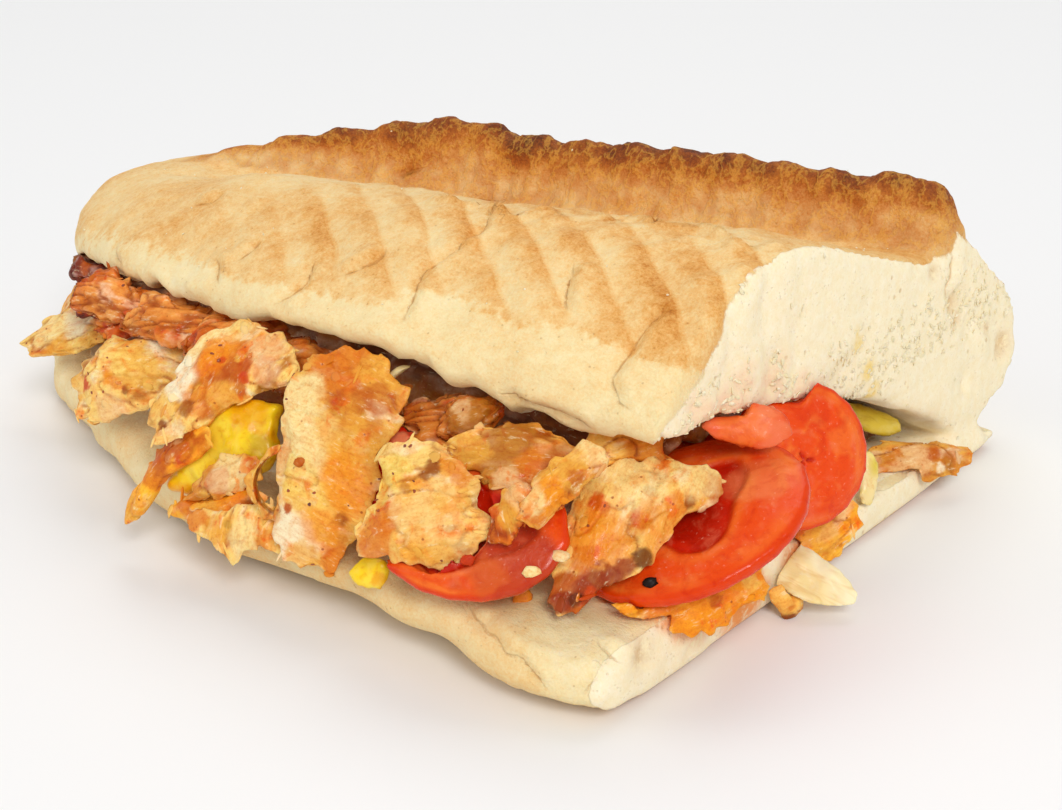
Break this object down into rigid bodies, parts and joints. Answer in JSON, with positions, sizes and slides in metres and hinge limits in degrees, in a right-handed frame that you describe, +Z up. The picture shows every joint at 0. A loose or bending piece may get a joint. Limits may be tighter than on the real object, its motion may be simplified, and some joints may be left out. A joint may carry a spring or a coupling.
{
  "type": "chicken doner sandwich",
  "caption": "Half of a split white loaf with a furrowed, pressed crust, filled with sliced roast chicken, tomato, pickled pepper, pickle and leaf, with the cut end open.",
  "frame": {"origin": "on the flat underside of the loaf, halfway along its length and near the middle of its width", "axes": "+Z up; +X along the loaf from its rounded end to its cut end; -Y towards the open mouth of the split, +Y towards its closed back"},
  "size_m": [0.1664, 0.1282, 0.0544],
  "materials": {
    "bread": "baked crust, cream to golden brown, with a matte cream crumb where it is cut",
    "chicken_golden": "roast chicken, golden with orange seasoning, moist",
    "chicken_pale": "pale roast chicken with orange edges, moist",
    "chicken_red": "seasoned reddish brown chicken, moist",
    "chicken_charred": "dark browned chicken edges, glossy",
    "tomato": "wet tomato flesh and glossy skin",
    "pepper": "glossy yellow pickled pepper",
    "pickle": "glossy green-yellow pickle",
    "leaf": "pale moist leaf",
    "onion": "pale moist onion"
  },
  "bodies": {
    "root": {"bread": "bread", "chicken_heap": "chicken_golden", "chicken_slice_triangle": "chicken_pale", "chicken_strip_hanging": "chicken_red", "chicken_slice_large": "chicken_golden", "chicken_slice_pale": "chicken_pale", "chicken_edge_orange": "chicken_red", "chicken_shred_diagonal": "chicken_golden", "chicken_slice_folded": "chicken_golden", "chicken_wedge_spotted": "chicken_pale", "chicken_slice_left": "chicken_pale", "chicken_ring_curled": "chicken_golden", "chicken_layer_upper": "chicken_pale", "chicken_layer_lower": "chicken_red", "chicken_flake_jagged": "chicken_pale", "chicken_slice_tan": "chicken_golden", "chicken_slice_inner_end": "chicken_golden", "chicken_chunk_round": "chicken_red", "chicken_shreds_orange": "chicken_red", "chicken_scrap_charred_outer": "chicken_charred", "chicken_scrap_charred_inner": "chicken_charred", "chicken_scraps_end": "chicken_red", "chicken_flake_end_high": "chicken_pale", "chicken_flake_end_low": "chicken_pale", "chicken_tip_browned": "chicken_charred", "chicken_slice_tucked_1": "chicken_red", "chicken_slice_tucked_2": "chicken_golden", "chicken_slice_tucked_3": "chicken_red", "chicken_slice_tucked_4": "chicken_golden", "chicken_slice_tucked_5": "chicken_red", "chicken_slice_tucked_6": "chicken_golden", "chicken_slice_end_1": "chicken_golden", "chicken_slice_end_2": "chicken_pale", "chicken_slice_end_3": "chicken_golden", "chicken_slice_end_4": "chicken_pale", "chicken_slice_end_5": "chicken_golden", "chicken_slice_end_6": "chicken_pale", "tomato_slice_front": "tomato", "tomato_slice_left": "tomato", "tomato_slice_end": "tomato", "tomato_scrap_pale": "tomato", "tomato_slice_back": "tomato", "tomato_piece_small": "tomato", "pickled_pepper": "pepper", "pepper_sliver": "pepper", "pepper_bit": "pepper", "pickle_slice": "pickle", "leaf_white": "leaf", "onion_sliver": "onion"}
  },
  "joints": []
}
